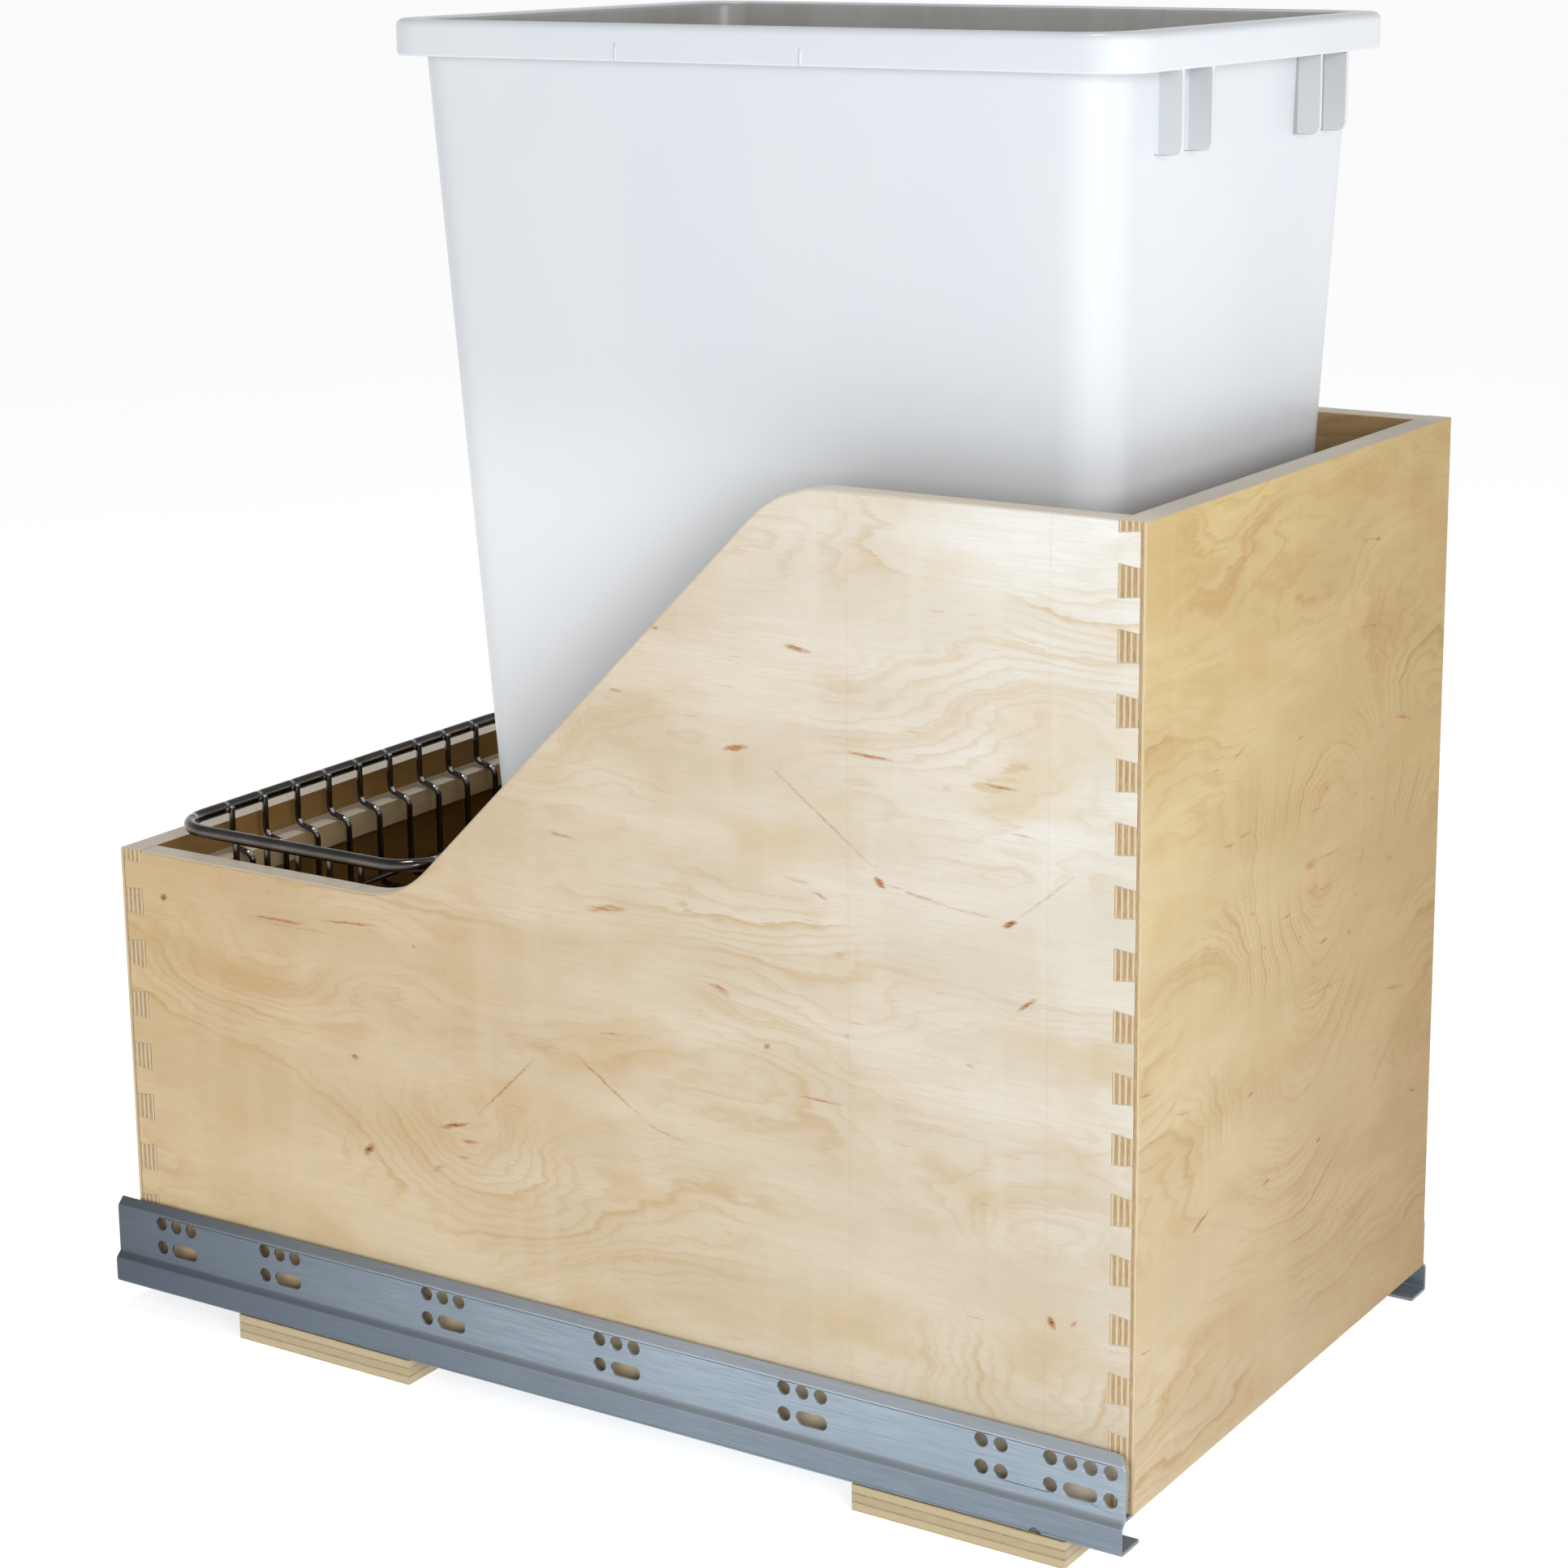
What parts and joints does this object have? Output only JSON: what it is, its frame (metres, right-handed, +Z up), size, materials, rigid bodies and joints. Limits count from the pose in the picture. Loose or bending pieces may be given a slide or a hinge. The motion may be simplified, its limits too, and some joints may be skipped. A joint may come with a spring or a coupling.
{
  "type": "pull-out waste bin unit",
  "caption": "Pull-out waste bin unit: dovetailed plywood box on undermount slides, with a tall tapered bin in front and a shallow wire basket behind.",
  "frame": {"origin": "centre of the unit's plan, on the cabinet floor that the cross boards rest on", "axes": "+Z up; -Y is the way the drawer pulls out; +X is to the right seen from the front (looking along +Y)"},
  "size_m": [0.313, 0.5436, 0.61],
  "materials": {
    "box_plywood": "clear satin lacquer on birch plywood",
    "board_plywood": "unfinished birch plywood",
    "slide_steel": "zinc plated sheet steel",
    "cage_plastic": "natural nylon",
    "lock_plastic": "grey moulded plastic",
    "lever_plastic": "dark grey moulded plastic",
    "screw_steel": "zinc plated",
    "bin_plastic": "white polypropylene, satin",
    "basket_wire": "dark nickel plated wire"
  },
  "bodies": {
    "base": {"cross_board_front": "board_plywood", "cross_board_rear": "board_plywood", "base_screws": "screw_steel", "cabinet_member_left": "slide_steel", "cabinet_member_right": "slide_steel"},
    "lower_cages": {"lower_cage_left": "cage_plastic", "lower_cage_right": "cage_plastic", "lower_rollers": "cage_plastic"},
    "middle_members": {"middle_member_left": "slide_steel", "middle_member_right": "slide_steel"},
    "upper_cages": {"upper_cage_left": "cage_plastic", "upper_cage_right": "cage_plastic", "upper_rollers": "cage_plastic"},
    "drawer": {"drawer_member_left": "slide_steel", "drawer_member_right": "slide_steel", "side_panel_left": "box_plywood", "side_panel_right": "box_plywood", "front_panel": "box_plywood", "rear_panel": "box_plywood", "bottom_panel": "box_plywood", "basket_ledge_front": "box_plywood", "basket_ledge_rear": "box_plywood", "rear_hooks": "screw_steel", "lock_housing_left": "lock_plastic", "lock_housing_right": "lock_plastic", "lock_pins": "screw_steel"},
    "lever_left": {"release_lever_left": "lever_plastic"},
    "lever_right": {"release_lever_right": "lever_plastic"},
    "wheel_left": {"height_wheel_left": "lever_plastic"},
    "wheel_right": {"height_wheel_right": "lever_plastic"},
    "bin": {"bin": "bin_plastic"},
    "basket": {"basket_frame": "basket_wire", "basket_front_wires": "basket_wire", "basket_rear_wires": "basket_wire", "basket_left_wires": "basket_wire", "basket_right_wires": "basket_wire", "basket_floor_wires": "basket_wire"}
  },
  "joints": [
    {"name": "drawer_pull", "type": "slide", "parent": "base", "child": "drawer", "axis": [0, -1, 0], "range_m": [0, 0.533]},
    {"name": "middle_slide", "type": "slide", "parent": "base", "child": "middle_members", "axis": [0, -1, 0], "range_m": [0, 0.2665]},
    {"name": "lower_cage_slide", "type": "slide", "parent": "base", "child": "lower_cages", "axis": [0, -1, 0], "range_m": [0, 0.13325]},
    {"name": "upper_cage_slide", "type": "slide", "parent": "base", "child": "upper_cages", "axis": [0, -1, 0], "range_m": [0, 0.39975]},
    {"name": "lever_left_release", "type": "hinge", "parent": "drawer", "child": "lever_left", "pos_m": [-0.098, -0.23375, 0.0269], "axis": [0, 0, 1], "range_deg": [0, 8], "stiffness_Nm_per_rad": 0.02, "springref_deg": -5.73},
    {"name": "wheel_left_turn", "type": "hinge", "parent": "drawer", "child": "wheel_left", "pos_m": [-0.098, -0.21675, 0.0269], "axis": [0, 0, 1], "range_deg": [-180, 180]},
    {"name": "lever_right_release", "type": "hinge", "parent": "drawer", "child": "lever_right", "pos_m": [0.098, -0.23375, 0.0269], "axis": [0, 0, -1], "range_deg": [0, 8], "stiffness_Nm_per_rad": 0.02, "springref_deg": -5.73},
    {"name": "wheel_right_turn", "type": "hinge", "parent": "drawer", "child": "wheel_right", "pos_m": [0.098, -0.21675, 0.0269], "axis": [0, 0, 1], "range_deg": [-180, 180]},
    {"name": "bin_lift", "type": "slide", "parent": "drawer", "child": "bin", "axis": [0, 0, 1], "range_m": [0, 0.42]},
    {"name": "basket_lift", "type": "slide", "parent": "drawer", "child": "basket", "axis": [0, 0, 1], "range_m": [0, 0.15]}
  ],
  "couplings": [
    {"joint": "middle_slide", "follows": "drawer_pull", "ratio": 0.5},
    {"joint": "lower_cage_slide", "follows": "drawer_pull", "ratio": 0.25},
    {"joint": "upper_cage_slide", "follows": "drawer_pull", "ratio": 0.75}
  ]
}
